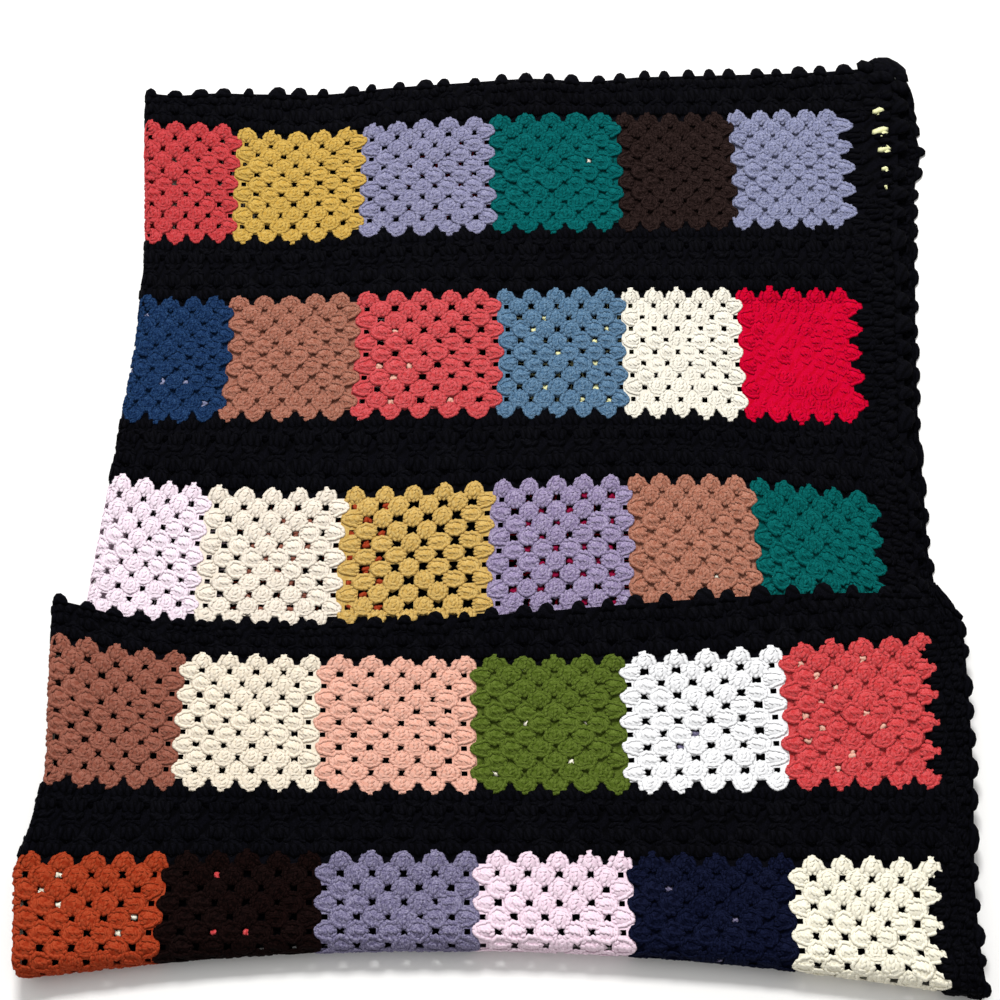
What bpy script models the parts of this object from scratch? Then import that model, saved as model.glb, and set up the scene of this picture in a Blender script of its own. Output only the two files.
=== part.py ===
"""Granny square blanket, crocheted in one piece and folded into four layers.

The blanket is worked on a square lattice of stitches: every square is ten
lattice steps wide, every row of squares is fifteen steps from the next, and a
dark border with small picots runs all round.  It is folded twice.  First it is
doubled from left to right, so that half A lies on half B with the fold at the
left.  Then the near end of the doubled cloth is folded up over the top, so that
B's outer face shows on the flap.

The flat outline and its larger gaps are triangulated once, in lattice steps,
and extruded to the cloth's thickness.  The function fold() then carries each
point of that flat slab to its place in the folded stack.
"""
import math

import bmesh
import bpy
import numpy as np
from mathutils import Vector
from mathutils.geometry import delaunay_2d_cdt

NAME = "blanket"
MM = 0.001

# The crochet lattice.  One step is half the width of a three-stitch cluster.
SQUARES_A_HALF = 6
SQUARE_STEPS = 10.0
ROW_STEPS = 15.0
ROWS = 6
TIP_STEPS = 5.5
BORDER_STEPS = 3.2
PICOT_PITCH = 2.0
PICOT_DEPTH = 0.62
U_EDGE = SQUARES_A_HALF * SQUARE_STEPS + 0.5 + BORDER_STEPS
FIRST_ROW = BORDER_STEPS + TIP_STEPS
V_EDGE = 2.0 * FIRST_ROW + (ROWS - 1) * ROW_STEPS

# The cloth and its stack of layers, in millimetres.
THICK = 4.0
LAYER_PITCH = 5.5
SIDE_LOOP_RADIUS = 4.6
FRONT_BULGE = 6.2
FLAP_ROW_STEP = 11.4
QUARTER = math.pi / 2.0

# How the loops flatten away from their folds: distance, share of the bulge.
SIDE_TAPER = ((0.0, 1.0), (8.0, 0.62), (20.0, 0.22), (36.0, 0.0))
FRONT_TAPER = ((0.0, 1.0), (18.0, 0.74), (42.0, 0.3), (85.0, 0.0))

# Cross lines of the lattice: v, y at mid width, slope and sag per 100 mm of x.
BASE_LINES_A = (
    (0.0, 436.0, 5.1, -0.35),
    (3.2, 384.0, 3.4, 0.0),
    (14.2, 247.0, 2.6, -0.35),
    (18.2, 189.0, 1.7, -0.45),
    (29.2, 51.0, 0.5, -0.4),
    (33.2, -6.0, -0.2, -0.6),
    (44.2, -133.0, 0.0, -0.5),
)
BASE_LINES_B = (
    (0.0, 412.0, -0.3, 0.15),
    (3.2, 366.0, 0.2, 0.1),
    (14.2, 239.0, 0.4, 0.0),
    (18.2, 186.0, 0.4, 0.0),
    (29.2, 51.0, 0.4, -0.3),
    (33.2, -6.0, -0.2, -0.5),
    (44.2, -133.0, 0.0, -0.5),
)
FLAP_LINES_A = (
    (74.2, -338.0, -0.6, -0.3),
    (78.2, -294.0, -0.2, 0.4),
    (89.2, -176.0, 1.8, 0.8),
    (92.4, -153.0, 1.3, 1.3),
)
FLAP_LINES_B = (
    (74.2, -338.0, -0.6, -0.3),
    (78.2, -294.0, -0.2, 0.4),
    (89.2, -170.0, 1.8, 0.8),
    (92.4, -145.0, 1.3, 1.4),
)
FRONT_LINE = (-417.0, -1.45, -1.65)

# Lengthwise lines: v, x of the side fold, u at the fold, right edges of A and B.
EDGES = (
    (0.0, -349.0, 2.4, 392.0, 405.0),
    (3.2, -347.0, 2.3, 392.0, 405.0),
    (8.7, -341.0, 2.2, 390.0, 399.0),
    (14.2, -335.0, 2.0, 382.0, 391.0),
    (29.2, -334.0, 1.7, 369.0, 378.0),
    (44.2, -350.0, 1.4, 374.0, 383.0),
    (67.0, -374.0, 0.0, 363.0, 373.0),
    (73.0, -383.0, -0.4, 366.0, 375.0),
    (79.0, -367.0, -0.8, 375.0, 384.0),
    (92.4, -379.0, -1.0, 378.0, 388.0),
)
# The seams between the columns of squares, from the fold to the right border.
SEAMS_A = (
    (8.7, -249.0, -129.0, -8.0, 119.0, 225.0, 339.0),
    (23.7, -241.0, -125.0, 4.0, 116.0, 220.0, 331.0),
    (38.7, -254.0, -133.0, -3.0, 116.0, 228.0, 336.0),
    (83.7, -262.0, -143.0, -24.0, 96.0, 216.0, 336.0),
)
SEAMS_B = (
    (8.7, -205.0, -90.0, 26.0, 142.0, 259.0, 374.0),
    (38.7, -226.0, -111.0, 4.0, 119.0, 234.0, 350.0),
    (68.7, -265.0, -139.0, -19.0, 109.0, 226.0, 346.0),
    (83.7, -261.0, -148.0, -21.0, 102.0, 232.0, 354.0),
)

# Squares worked openly enough for their gaps to be cut: half, column, row, gap.
OPEN_SQUARES = (
    ("A", 3, 3, 7.0),
    ("A", 4, 3, 5.6),
    ("A", 3, 2, 5.6),
    ("A", 2, 3, 5.2),
    ("B", 5, 6, 5.0),
    ("B", 6, 6, 4.6),
    ("A", 1, 3, 4.6),
)
GAP_STEPS = 4
STEP_MM = 11.8
RIPPLE = 0.7
ORIGIN = (12.66, 2.95)

# Overhangs sink towards the floor: by how much, from where, over what length.
# The flap's starts at the lower layers' side fold, a line in x that leans with y.
FAR_DROOP = (4.6, 4.0, 26.0)
FLAP_DROOP = (5.0, 30.0)
LOWER_FOLD = (-133.0, -350.0, 0.0866)


def table(rows, column, v):
    """Read one column of a table at the lattice rows v."""
    data = np.array(rows)
    return np.interp(v, data[:, 0], data[:, column])


def taper(knots, distance):
    """Share of a loop's bulge left at a distance from the loop."""
    data = np.array(knots)
    return np.interp(distance, data[:, 0], data[:, 1])


def line_y(line, x):
    """Height in y of a cross line at x."""
    r = x / 100.0
    return line[0] + line[1] * r + line[2] * r * r


def along(value, knots, places):
    """Piecewise linear map whose knots and places may differ for each point."""
    out = places[0] + (value - knots[0]) * (places[1] - places[0]) / (knots[1] - knots[0])
    for k in range(1, len(knots) - 1):
        step = (places[k + 1] - places[k]) / (knots[k + 1] - knots[k])
        out = np.where(value >= knots[k], places[k] + (value - knots[k]) * step, out)
    return out


def side_arc(u, v):
    """Distance from the side fold along the cloth, plus for A and minus for B."""
    centre = table(EDGES, 1, v) + THICK / 2.0 + SIDE_LOOP_RADIUS
    quarter = QUARTER * SIDE_LOOP_RADIUS
    apex = table(EDGES, 2, v)
    arcs = []
    for sign, seams, edge in ((1.0, SEAMS_A, 3), (-1.0, SEAMS_B, 4)):
        knots = [sign * apex]
        places = [np.zeros_like(v)]
        for k in range(1, SQUARES_A_HALF + 1):
            knots.append(np.full_like(v, k * SQUARE_STEPS))
            places.append(table(seams, k, v) - centre + quarter)
        knots.append(np.full_like(v, U_EDGE))
        places.append(table(EDGES, edge, v) - centre + quarter)
        arcs.append(along(sign * u, knots, places))
    return np.where(u >= apex, arcs[0], -arcs[1])


def half_height(run):
    """Half the height between layers A and B at a distance from the side loop."""
    flat = LAYER_PITCH / 2.0
    return flat + (SIDE_LOOP_RADIUS - flat) * taper(SIDE_TAPER, run)


def lower_fold(y):
    """Where the side fold of the two lower layers lies under the flap, in x."""
    level, start, lean = LOWER_FOLD
    return start + (y - level) * lean


def side_section(u, v, w):
    """Cross-section of the doubled cloth: x, offset, middle offset, half height."""
    centre = table(EDGES, 1, v) + THICK / 2.0 + SIDE_LOOP_RADIUS
    quarter = QUARTER * SIDE_LOOP_RADIUS
    arc = side_arc(u, v)
    run = np.maximum(np.abs(arc) - quarter, 0.0)
    angle = np.clip(arc / SIDE_LOOP_RADIUS, -QUARTER, QUARTER)
    half = half_height(run)
    x = centre + run - (SIDE_LOOP_RADIUS + w) * np.cos(angle)
    middle = half * np.sin(angle)
    return x, middle + w * np.sin(angle), middle, half


def front_arc(v, x, middle, half):
    """Signed distance from the front fold along the layer, and the loop's size."""
    radius = (LAYER_PITCH + 2.0 * half + FRONT_BULGE) / 2.0
    centre = line_y(FRONT_LINE, x) + THICK / 2.0 + half + radius
    share = (middle / half + 1.0) / 2.0
    quarter = QUARTER * (radius - middle)
    knots = []
    places = []
    for line_a, line_b in zip(BASE_LINES_A, BASE_LINES_B):
        y = share * line_y(line_a[1:], x) + (1.0 - share) * line_y(line_b[1:], x)
        knots.append(np.full_like(v, line_a[0]))
        places.append(-(y - centre + quarter))
    outer = line_y(FLAP_LINES_B[0][1:], x) - centre + QUARTER * (radius + half)
    knots.append(FLAP_LINES_B[0][0] - outer / FLAP_ROW_STEP)
    places.append(np.zeros_like(v))
    for line_a, line_b in zip(FLAP_LINES_A, FLAP_LINES_B):
        y = share * line_y(line_a[1:], x) + (1.0 - share) * line_y(line_b[1:], x)
        knots.append(np.full_like(v, line_a[0]))
        places.append(y - centre + quarter)
    return along(v, knots, places), radius, centre, quarter


def fold(u, v, w):
    """Carry lattice points to the folded cloth; w is the way out of its middle."""
    x, offset, middle, half = side_section(u, v, w)
    arc, radius, centre, quarter = front_arc(v, x, middle, half)
    run = np.maximum(np.abs(arc) - quarter, 0.0)
    angle = np.clip(arc / (radius - middle), -QUARTER, QUARTER)
    flap = np.where(arc > 0.0, 1.0, 0.0)
    y = centre + run - (radius - offset) * np.cos(angle)
    low = THICK / 2.0 + half
    z = low + radius + (radius - offset) * np.sin(angle)
    z = z - flap * FRONT_BULGE * (1.0 - taper(FRONT_TAPER, run))
    under = half_height(x - lower_fold(y) - THICK / 2.0 - SIDE_LOOP_RADIUS)
    z = z + flap * 2.0 * (under - half) * ease(run / 30.0)
    upper = (middle / half + 1.0) / 2.0
    lift = upper + (1.0 - upper) * (np.sin(angle) + 1.0) / 2.0
    z = z + lift * ripple(x, y) - droop(x, y, upper, flap)
    return np.stack([x - ORIGIN[0], y - ORIGIN[1], z], axis=-1)


def ripple(x, y):
    """Slight unevenness of the upper layers, never below the flat stack."""
    wave = np.sin(x / 61.0 + 0.6) * np.cos(y / 83.0 - 0.4) + 0.5 * np.sin(x / 97.0 - y / 71.0)
    return RIPPLE * (wave + 1.5)


def ease(value):
    """Smooth step from 0 to 1."""
    t = np.clip(value, 0.0, 1.0)
    return t * t * (3.0 - 2.0 * t)


def droop(x, y, upper, flap):
    """Sinking of half A past B's far edge, and of the flap past the side fold."""
    depth, start, length = FAR_DROOP
    far = depth * ease((y - line_y(BASE_LINES_B[0][1:], x) - start) / length)
    depth, length = FLAP_DROOP
    side = np.clip((lower_fold(y) - x) / length, 0.0, 1.0) ** 2
    return far * upper * (1.0 - flap) + depth * side * flap


def picot_edge(start, end, count):
    """Zigzag from start towards end, valleys first, tips on the edge line."""
    start, end = Vector(start), Vector(end)
    step = (end - start) / count
    inward = Vector((-step.y, step.x)).normalized() * PICOT_DEPTH
    points = []
    for k in range(count):
        points.append(start + step * k + (inward if k else inward * 0.0))
        points.append(start + step * (k + 0.5))
    return points


def outline():
    """The flat outline with its picots, anticlockwise, in lattice steps."""
    corners = ((-U_EDGE, 0.0), (U_EDGE, 0.0), (U_EDGE, V_EDGE), (-U_EDGE, V_EDGE))
    points = []
    for k, corner in enumerate(corners):
        other = corners[(k + 1) % 4]
        length = (Vector(other) - Vector(corner)).length
        points += picot_edge(corner, other, round(length / PICOT_PITCH))
    return points


def gaps():
    """Corners of each gap cut through the open squares."""
    cut = []
    for side, column, row, size in OPEN_SQUARES:
        sign = 1.0 if side == "A" else -1.0
        cu = sign * (column - 0.5) * SQUARE_STEPS
        cv = FIRST_ROW + (row - 1) * ROW_STEPS
        half = size / STEP_MM / 2.0
        for i in range(-GAP_STEPS, GAP_STEPS + 1):
            for j in range(-GAP_STEPS, GAP_STEPS + 1):
                at_fold = column == 1 and i < -1
                if (i + j) % 2 or at_fold:
                    continue
                square = ((-half, -half), (half, -half), (half, half), (-half, half))
                cut.append([Vector((cu + i + a, cv + j + b)) for a, b in square])
    return cut


def side_lines():
    """Lines along the side loop, where the cloth bends, as chains of points."""
    quarter = QUARTER * SIDE_LOOP_RADIUS
    arcs = [quarter * k / 3.0 for k in range(-3, 4)]
    for distance, _ in SIDE_TAPER[1:]:
        arcs += [quarter + distance, -quarter - distance]
    fine = np.linspace(-14.0, 16.0, 601)
    chains = []
    for arc in arcs:
        chain = []
        for v in np.linspace(0.0, V_EDGE, 22):
            places = side_arc(fine, np.full_like(fine, v))
            chain.append(Vector((float(np.interp(arc, places, fine)), float(v))))
        chains.append(chain)
    return chains


def front_lines():
    """Lines along the front loop and where the flap settles, as chains."""
    angles = [QUARTER * k / 3.0 for k in range(-3, 4)]
    runs = [0.0] * len(angles) + [distance for distance, _ in FRONT_TAPER[1:]]
    angles += [QUARTER] * (len(FRONT_TAPER) - 1)
    fine = np.linspace(44.0, V_EDGE, 1201)
    around = [-6.0, -3.2, -1.6, -0.7, 0.0, 0.7, 1.6, 3.2, 6.0]
    columns = np.concatenate([np.linspace(-U_EDGE, -10.0, 12), around, np.linspace(10.0, U_EDGE, 12)])
    chains = []
    for angle, run in zip(angles, runs):
        chain = []
        for u in columns:
            us = np.full_like(fine, u)
            x, _, middle, half = side_section(us, fine, 0.0)
            arc, radius, _, _ = front_arc(fine, x, middle, half)
            target = angle * (radius - middle) + run
            v = float(np.interp(0.0, arc - target, fine))
            chain.append(Vector((float(u), v)))
        chains.append(chain)
    return chains


def far_lines():
    """Lines where half A starts to sink past B's far edge, as chains."""
    columns = np.linspace(4.0, U_EDGE, 13)
    return [[Vector((float(u), v)) for u in columns] for v in (0.95, 1.6)]


def flat_mesh():
    """Triangulate the outline, its gaps and the bending lines in one plane."""
    border = outline()
    cut = gaps()
    points = list(border)
    edges = [(k, (k + 1) % len(border)) for k in range(len(border))]
    faces = [list(range(len(border)))]
    for hole in cut:
        base = len(points)
        points += hole
        faces.append([base, base + 1, base + 2, base + 3])
    inner = PICOT_DEPTH + 0.25
    for chain in side_lines() + front_lines() + far_lines():
        chain = [Vector((min(max(p.x, inner - U_EDGE), U_EDGE - inner),
                         min(max(p.y, inner), V_EDGE - inner))) for p in chain]
        base = len(points)
        points += chain
        edges += [(base + k, base + k + 1) for k in range(len(chain) - 1)]
    for u in np.linspace(-54.0, 54.0, 15):
        for v in np.linspace(6.0, 51.0, 7):
            place = Vector((float(u), float(v)))
            near = min((place - hole[0]).length for hole in cut)
            if near > 2.5 and abs(u) > 9.0:
                points.append(place)
    verts, _, tris, _, _, sources = delaunay_2d_cdt(points, edges, faces, 0, 0.02)
    kept = [tri for tri, source in zip(tris, sources)
            if 0 in source and not any(s > 0 for s in source)]
    return verts, kept


def build():
    """Cut the flat cloth, give it its thickness, and fold it as one object."""
    verts, tris = flat_mesh()
    bm = bmesh.new()
    made = [bm.verts.new((p.x, p.y, -THICK / 2.0)) for p in verts]
    for tri in tris:
        bm.faces.new([made[k] for k in tri])
    loose = [p for p in bm.verts if not p.link_faces]
    bmesh.ops.delete(bm, geom=loose, context="VERTS")
    raised = bmesh.ops.extrude_face_region(bm, geom=bm.faces[:], use_keep_orig=True)
    top = [item for item in raised["geom"] if isinstance(item, bmesh.types.BMVert)]
    bmesh.ops.translate(bm, verts=top, vec=(0.0, 0.0, THICK))
    slab = np.array([p.co for p in bm.verts])
    folded = fold(slab[:, 0], slab[:, 1], slab[:, 2]) * MM
    for point, place in zip(bm.verts, folded.tolist()):
        point.co = place
    bmesh.ops.recalc_face_normals(bm, faces=bm.faces)
    mesh = bpy.data.meshes.new(NAME)
    bm.to_mesh(mesh)
    bm.free()
    obj = bpy.data.objects.new(NAME, mesh)
    group = bpy.data.collections.new("granny_square_blanket")
    bpy.context.scene.collection.children.link(group)
    group.objects.link(obj)
    yarn = bpy.data.materials.new("dark_yarn")
    yarn.use_nodes = True
    shader = yarn.node_tree.nodes["Principled BSDF"]
    shader.inputs["Base Color"].default_value = (0.012, 0.012, 0.016, 1.0)
    shader.inputs["Roughness"].default_value = 0.95
    shader.inputs["Metallic"].default_value = 0.0
    mesh.materials.append(yarn)
    return obj


def main():
    for obj in list(bpy.data.objects):
        bpy.data.objects.remove(obj, do_unlink=True)
    build()


if __name__ == "__main__":
    main()
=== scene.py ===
"""Granny square blanket, crocheted in worsted yarn and folded into four layers.

Everything is laid out flat on a lattice of stitches and then carried to the
folded stack by fold().  One lattice step is half the width of a cluster of
three stitches.  A ground cloth with open gaps lies in the middle of the cloth,
and clusters, top loops and picots of yarn stand on it.
"""

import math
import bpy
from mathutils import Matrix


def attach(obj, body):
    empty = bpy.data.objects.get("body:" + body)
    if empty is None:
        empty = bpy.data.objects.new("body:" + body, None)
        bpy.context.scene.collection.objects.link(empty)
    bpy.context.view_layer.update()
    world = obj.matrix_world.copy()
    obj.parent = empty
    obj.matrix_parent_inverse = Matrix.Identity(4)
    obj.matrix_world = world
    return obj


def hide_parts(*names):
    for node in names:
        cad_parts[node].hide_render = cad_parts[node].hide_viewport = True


bl_info = {
    "name": "Folded Granny Square Blanket",
    "version": (1, 0, 0),
    "blender": (4, 5, 0),
    "location": "3D View > Sidebar > Blanket",
    "description": "Crocheted granny square blanket, doubled and folded up",
    "category": "Add Mesh",
}

import bmesh
import bpy
import numpy as np

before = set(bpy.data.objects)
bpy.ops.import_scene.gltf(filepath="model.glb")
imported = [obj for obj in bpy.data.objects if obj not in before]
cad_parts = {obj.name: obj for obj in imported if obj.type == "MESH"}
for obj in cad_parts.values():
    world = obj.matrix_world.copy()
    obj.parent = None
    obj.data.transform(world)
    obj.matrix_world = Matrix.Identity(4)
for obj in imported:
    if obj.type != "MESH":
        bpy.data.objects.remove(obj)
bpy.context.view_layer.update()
CAD_NODE = "blanket"
MM = 0.001
FLOOR_GAP = 0.0002

# The lattice, in steps.  u runs across both halves, v from the far edge.
SQUARE_STEPS = 10.0
ROW_CENTRES = (8.7, 23.7, 38.7, 53.7, 68.7, 83.7)
# Lattice rows lie this far past the whole numbers in v, and gaps lie on them.
ROW_OFFSET = 0.7
ROUNDS = 5
U_EDGE = 63.7
V_EDGE = 92.4
STEP_MM = 11.8

# The folded stack, in millimetres, the same as the solid's.
THICK = 4.0
LAYER_PITCH = 5.5
SIDE_LOOP_RADIUS = 4.6
FRONT_BULGE = 6.2
FLAP_ROW_STEP = 11.4
QUARTER = math.pi / 2.0
# Share of a loop's bulge that is left at a distance from the loop.
SIDE_TAPER = ((0.0, 1.0), (8.0, 0.62), (20.0, 0.22), (36.0, 0.0))
FRONT_TAPER = ((0.0, 1.0), (18.0, 0.74), (42.0, 0.3), (85.0, 0.0))
# Over this distance the flap settles on the loop of the lower side fold.
FLAP_SETTLE = 30.0

# Cross lines of the lattice: v, y at mid width, then the slope, sag and S-bend per
# 100 mm of x.
BASE_LINES_A = (
    (0, 436, 5.1, -0.35), (3, 384, 3.4, 0),
    (14.4, 247, 2.6, -0.35), (18, 189, 1.7, -0.45),
    (29.4, 51, 0.5, -0.4), (33, -7.4, 6.1, -0.28, -0.77),
    (38.7, -76.5, 5.2, -0.68, -0.73), (44.4, -145.6, 2.6, -0.38, -0.56),
)
BASE_LINES_B = (
    (0, 412, 3, 0.35), (3, 366, 0.2, 0.1),
    (14.4, 239, 0.4, 0), (18, 186, 0.4, 0),
    (29.4, 51, 0.4, -0.3), (33, -6, -0.2, -0.5),
    (38.7, -76, -0.1, -0.5), (44.4, -145, 0, -0.5),
)
FLAP_LINES_A = (
    (74.4, -338, -0.6, -0.3), (78, -294, -0.2, 0.4),
    (89.4, -181, 1.45, 1.25), (92.4, -140.6, 9.8, 0.66, -0.56),
)
FLAP_LINES_B = (
    (74.4, -338, -0.6, -0.3), (78, -294, -0.2, 0.4),
    (89.4, -175, 1.45, 1.25), (92.4, -132.1, 9.8, 0.71, -0.56),
)
FRONT_LINE = (-417, -2, -2.1)

# Lengthwise lines: v, x of the side fold, u at the fold, right edges of A and B.
EDGES = (
    (0, -349, 2.4, 395, 403), (2, -348, 2.35, 401, 408),
    (5, -345, 2.28, 396, 413), (8.7, -341, 2.2, 390, 401),
    (14.2, -335, 2, 382, 394), (22, -334, 1.85, 375, 384),
    (29.2, -340, 1.7, 368, 377), (38, -349, 1.5, 364, 373),
    (44.2, -354, 1.4, 371, 380), (67, -374, 0, 363, 373),
    (73, -383, 0, 366, 375), (79, -367, 0, 375, 385),
    (88.5, -375.5, -0.14, 381, 391), (90.4, -377.2, -0.17, 376, 386),
    (92.4, -379, -0.2, 360, 371),
)
SEAMS_A = (
    (8.7, -257, -136, -13, 111, 220, 331),
    (23.7, -250, -135, -3, 109, 215, 321),
    (38.7, -262, -142, -13, 109, 218, 325),
    (83.7, -262, -143, -24, 96, 216, 336),
)
SEAMS_B = (
    (8.7, -205, -90, 26, 142, 259, 374),
    (38.7, -226, -111, 4, 119, 234, 350),
    (63.2, -259, -135, -13, 107, 232, 351),
    (68.7, -259, -135, -13, 107, 232, 344),
    (83.7, -258, -145, -17, 106, 238, 363),
)
RIPPLE = 0.7
ORIGIN = (12.66, 2.95)
FAR_DROOP = (4.6, 4, 26)
FLAP_DROOP = (5, 30)
LOWER_FOLD = (-133, -350, 0.0866)
# Places where the upper cloth is pulled out of line: u, v, reach in steps, shift in y.
TUGS = (
    (5, 2.6, 5.5, 8), (5, -0.8, 2.8, -7), (15, 2.6, 5.5, -12),
    (35, 2.6, 6.5, 6), (38, -0.6, 3, -9), (14, -0.8, 3.4, 6),
    (62.5, -0.4, 2.6, 5), (15, 14, 5, -5), (55, 30, 5, -5),
    (0, 91, 5, 8),
)

# Specular level of the fibre: a fuzzy strand scatters nearly all light.
FIBRE_GLOSS = 0.04

# Yarns: name, sRGB colour, sheen, heather.  Worsted acrylic, spun and plied, so matt
# with a faint halo of fibre ends; the darkest ones keep almost none of it.  Heather is
# how far lighter and darker fibres are mixed.
YARNS = (
    ("black", "06060C", 0.0, 0.0), ("coral_red", "B54346", 0.25, 0.04),
    ("mustard", "BD9D52", 0.25, 0.02), ("lavender", "86859F", 0.25, 0.16),
    ("teal_green", "035B5B", 0.2, 0.0), ("dark_brown", "291D1B", 0.08, 0.0),
    ("periwinkle", "8588A2", 0.25, 0.16), ("royal_blue", "1E375A", 0.12, 0.08),
    ("dusty_tan", "9E6B5A", 0.25, 0.08), ("coral_rose", "BF5053", 0.25, 0.06),
    ("denim_blue", "5A7790", 0.25, 0.14), ("cream", "E4DFD2", 0.2, 0.0),
    ("crimson", "C00131", 0.1, 0.0), ("pale_lilac", "EADAE4", 0.2, 0.0),
    ("oatmeal", "E4DACC", 0.2, 0.0), ("gold", "C4A563", 0.25, 0.06),
    ("violet", "9488A5", 0.25, 0.24), ("cocoa_tan", "A67360", 0.25, 0.08),
    ("bottle_green", "045C5A", 0.2, 0.0), ("rose_brown", "905C4D", 0.25, 0.0),
    ("ecru", "E5DAC8", 0.2, 0.0), ("peach", "DCAB99", 0.2, 0.0),
    ("olive", "586829", 0.2, 0.0), ("white", "EBEBEC", 0.2, 0.0),
    ("brick_coral", "C44C4E", 0.25, 0.06), ("rust", "9E4125", 0.25, 0.0),
    ("near_black", "140706", 0.04, 0.0), ("slate_lavender", "7A758F", 0.25, 0.2),
    ("pale_pink", "E9D3DF", 0.2, 0.0), ("dark_navy", "0F142B", 0.06, 0.0),
    ("ivory", "EDE8D6", 0.2, 0.0), ("pale_yellow", "E2E2B2", 0.2, 0.0),
    # The second yarn on the next line is crimson darkened: painted shade for the crimson of the layer below,
    # seen deep in the violet square's gaps.
    ("dark_green", "16281E", 0.1, 0.0), ("wine", "8E123E", 0.15, 0.0),
)
YARN_INDEX = {row[0]: k for k, row in enumerate(YARNS)}

# Squares from the side fold outwards: yarn, width of the gaps in millimetres, and relief,
# which is less than 1 where the stitches lie flatter.
TOP_SQUARES_A = {
    1: (("coral_red", 2.7, 1.0), ("mustard", 2.9, 0.88), ("lavender", 2.6, 1.0),
        ("teal_green", 2.1, 0.62), ("dark_brown", 2.2, 0.7), ("periwinkle", 2.2, 1.0)),
    2: (("royal_blue", 2.2, 0.88), ("dusty_tan", 2.5, 1.0), ("coral_rose", 3.4, 1.0),
        ("denim_blue", 3.3, 1.0), ("cream", 2.6, 0.42), ("crimson", 1.6, 0.36)),
    3: (("pale_lilac", 3.1, 0.68), ("oatmeal", 3.5, 0.72), ("gold", 5.9, 1.0),
        ("violet", 4.4, 1.0), ("cocoa_tan", 2.5, 1.0), ("bottle_green", 2.4, 0.66)),
}
TOP_SQUARES_B = {
    5: (("rust", 3.2, 1.0), ("near_black", 3.2, 0.76), ("slate_lavender", 3.1, 1.0),
        ("pale_pink", 3.4, 0.75), ("dark_navy", 2.5, 0.76), ("ivory", 3.4, 0.75)),
    6: (("rose_brown", 3.2, 1.0), ("ecru", 3.0, 0.7), ("peach", 2.8, 0.75),
        ("olive", 2.5, 0.76), ("white", 4.0, 0.58), ("brick_coral", 2.5, 0.78)),
}
# How far a square without any relief would sink into its ground, in millimetres.
FLAT_SUNK = 0.65
# Hidden squares, from the side fold outwards.  Of half A's only those at the fold show.
UNDER_SQUARES_A = {4: ("teal_green",), 5: ("ivory",), 6: ("ecru",)}
UNDER_SQUARES_B = {
    1: ("cream", "dark_navy", "crimson", "oatmeal", "slate_lavender", "pale_yellow"),
    2: ("ivory", "white", "near_black", "pale_yellow", "dark_brown", "olive"),
    3: ("pale_pink", "rust", "dark_green", "crimson", "near_black", "cream"),
    4: ("lavender", "peach", "dark_navy", "gold", "coral_rose", "denim_blue"),
}

# What a gap's half width is more than half the given width, its largest half width and
# that of the gaps next to a seam, in steps.
GAP_LEAST = 0.11
GAP_MOST = 0.44
SEAM_GAP = 0.19
# Stitches of the layer below that stand up in the gaps of a square: yarn, share of the
# gaps, height in millimetres, and the lattice columns where it isn't all of them.
GLIMPSES = {
    "teal_green": ("oatmeal", 0.06, -1.5), "royal_blue": ("periwinkle", 0.1, -1.2),
    "coral_rose": ("peach", 0.1, -1.2), "denim_blue": ("pale_yellow", 0.4, -2.2),
    "oatmeal": ("rose_brown", 0.65, -2.2, -1, 3), "gold": ("rust", 0.9, -1.6, -4, -2),
    # Crimson lies under the violet square; its glimpses are painted darker, as painted shade.
    "violet": ("wine", 0.7, -2.6), "cocoa_tan": ("ivory", 0.08, -1.5),
    "rust": ("ivory", 0.22, -1.6), "near_black": ("brick_coral", 0.18, -1.4),
    "dark_navy": ("slate_lavender", 0.1, -1.9), "rose_brown": ("near_black", 0.3, -2.2),
    "olive": ("ivory", 0.12, -1.6), "white": ("slate_lavender", 0.12, -2.2),
    "brick_coral": ("peach", 0.5, -0.9, -1, 4),
}
ALL_COLUMNS = (-3, 4)
# Pale stitches of the lower half between the rounds of the side border: u, v, size.
BORDER_GLIMPSES = (
    (62.1, 3.5, 0.95), (62.2, 5.3, 1.15), (62.4, 7.0, 1.05),
    (62.4, 8.8, 0.75), (62.4, 10.6, 0.5),
)

# Loops of yarn that show on a cluster, from its foot to its crown: place across
# and along it, slant in degrees, half length and half width.
CLUSTER_LOOPS = (
    (-0.27, -0.58, 116, 0.20, 0.125), (0.02, -0.62, 92, 0.20, 0.125), (0.29, -0.58, 68, 0.20, 0.125),
    (-0.47, -0.32, 72, 0.24, 0.15), (-0.02, -0.34, 62, 0.26, 0.155), (0.46, -0.30, 60, 0.24, 0.15),
    (-0.53, -0.02, 68, 0.26, 0.16), (-0.03, -0.04, 60, 0.26, 0.155), (0.53, -0.02, 72, 0.26, 0.16),
    (-0.45, 0.26, 50, 0.26, 0.14), (0.00, 0.24, 8, 0.27, 0.13), (0.45, 0.25, -46, 0.26, 0.14),
    (-0.27, 0.49, 26, 0.26, 0.13), (0.02, 0.57, -6, 0.21, 0.12), (0.30, 0.48, -30, 0.26, 0.13),
)
TIP_LOOPS = (
    (-0.28, -0.60, 116, 0.20, 0.125), (0.02, -0.62, 92, 0.20, 0.125), (0.30, -0.60, 68, 0.20, 0.125),
    (-0.56, -0.36, 76, 0.26, 0.15), (-0.02, -0.34, 62, 0.26, 0.155), (0.56, -0.34, 104, 0.26, 0.15),
    (-0.48, -0.04, 70, 0.26, 0.15), (-0.02, -0.04, 58, 0.26, 0.15), (0.48, -0.04, 110, 0.26, 0.15),
    (-0.36, 0.25, 62, 0.26, 0.14), (0.02, 0.22, 16, 0.24, 0.14), (0.36, 0.25, -62, 0.26, 0.14),
    (-0.15, 0.48, 24, 0.22, 0.13), (0.15, 0.49, -24, 0.22, 0.13),
)
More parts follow.
